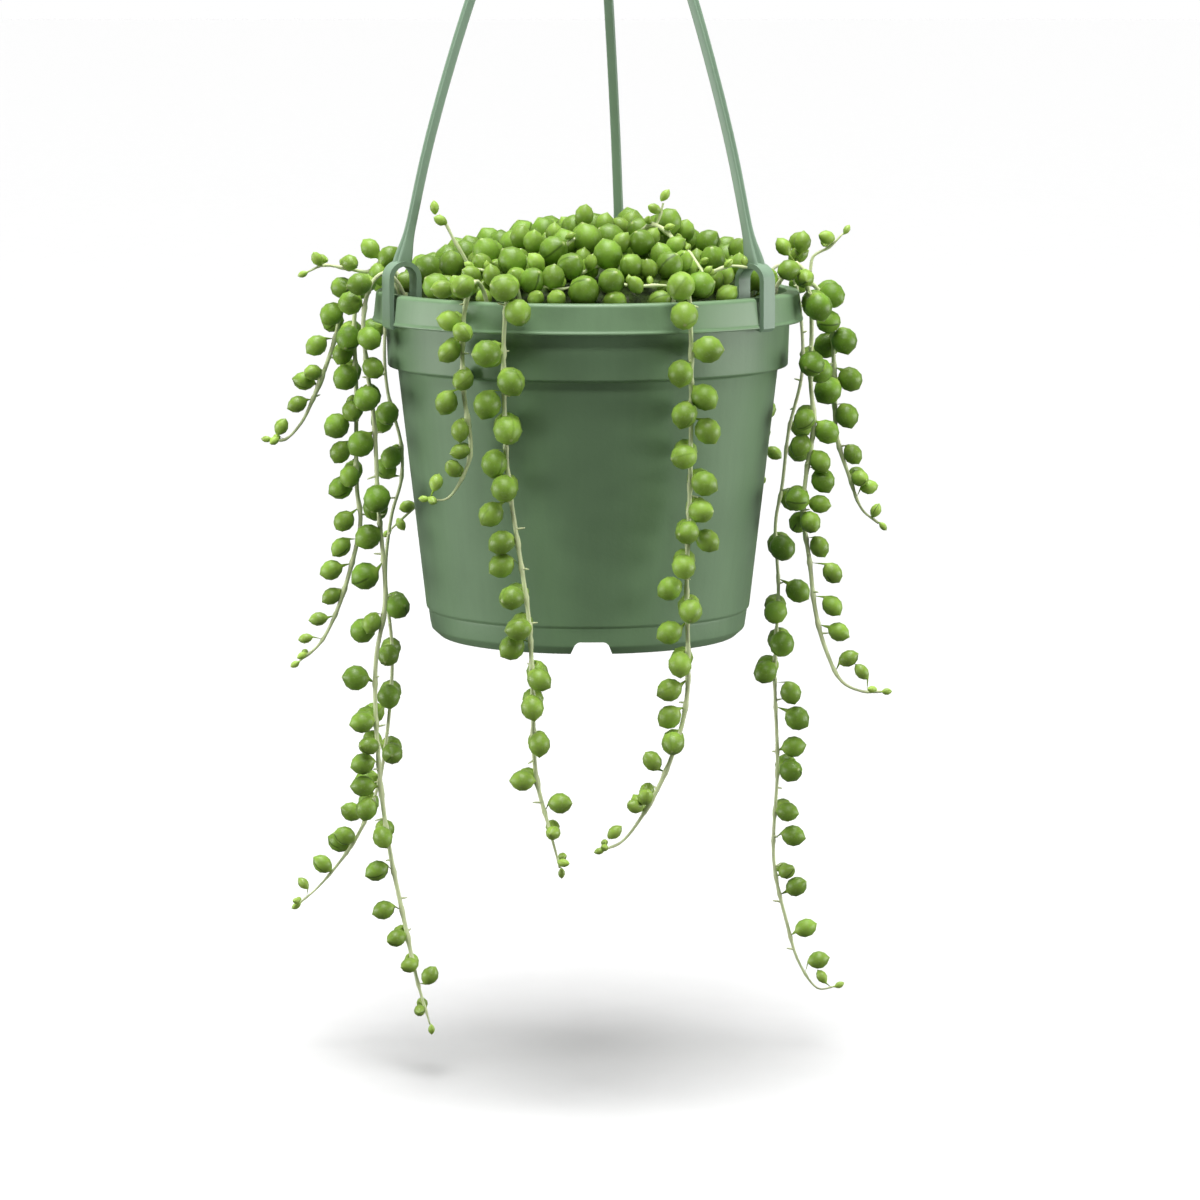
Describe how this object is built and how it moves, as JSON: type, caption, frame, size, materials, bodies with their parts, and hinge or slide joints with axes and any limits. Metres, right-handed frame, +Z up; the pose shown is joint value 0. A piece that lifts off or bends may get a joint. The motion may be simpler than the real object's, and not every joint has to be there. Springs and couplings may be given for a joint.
{
  "type": "potted string of pearls",
  "caption": "Hanging plastic pot on a clip-on hanger with a hook, planted with a string of pearls whose beaded stems form a low mound and trail over the rim",
  "frame": {"origin": "Inside top of the hook, where the whole thing hangs. The rim's top is 205 mm below it.", "axes": "+Z up, -Y to the front as in the picture, +X to the right."},
  "size_m": [0.1951, 0.1503, 0.4363],
  "materials": {
    "pot_plastic": "satin",
    "hanger_plastic": "satin",
    "potting_mix": "matte",
    "mound_leaves": "satin",
    "leaves": "satin",
    "young_leaves": "satin"
  },
  "bodies": {
    "root": {"pot": "pot_plastic", "hanger": "hanger_plastic", "soil": "potting_mix", "mound": "mound_leaves", "strand_front_1": "young_leaves", "strand_front_2": "leaves", "strand_front_3": "leaves", "strand_left_1": "leaves", "strand_left_2": "leaves", "strand_left_3": "leaves", "strand_left_4": "leaves", "strand_right_1": "leaves", "strand_right_2": "leaves", "strand_right_3": "leaves", "sprig_left": "young_leaves", "sprig_right": "young_leaves", "strand_back_1": "leaves", "strand_back_2": "leaves", "strand_back_3": "leaves", "strand_back_4": "leaves", "strand_back_5": "leaves"}
  },
  "joints": []
}
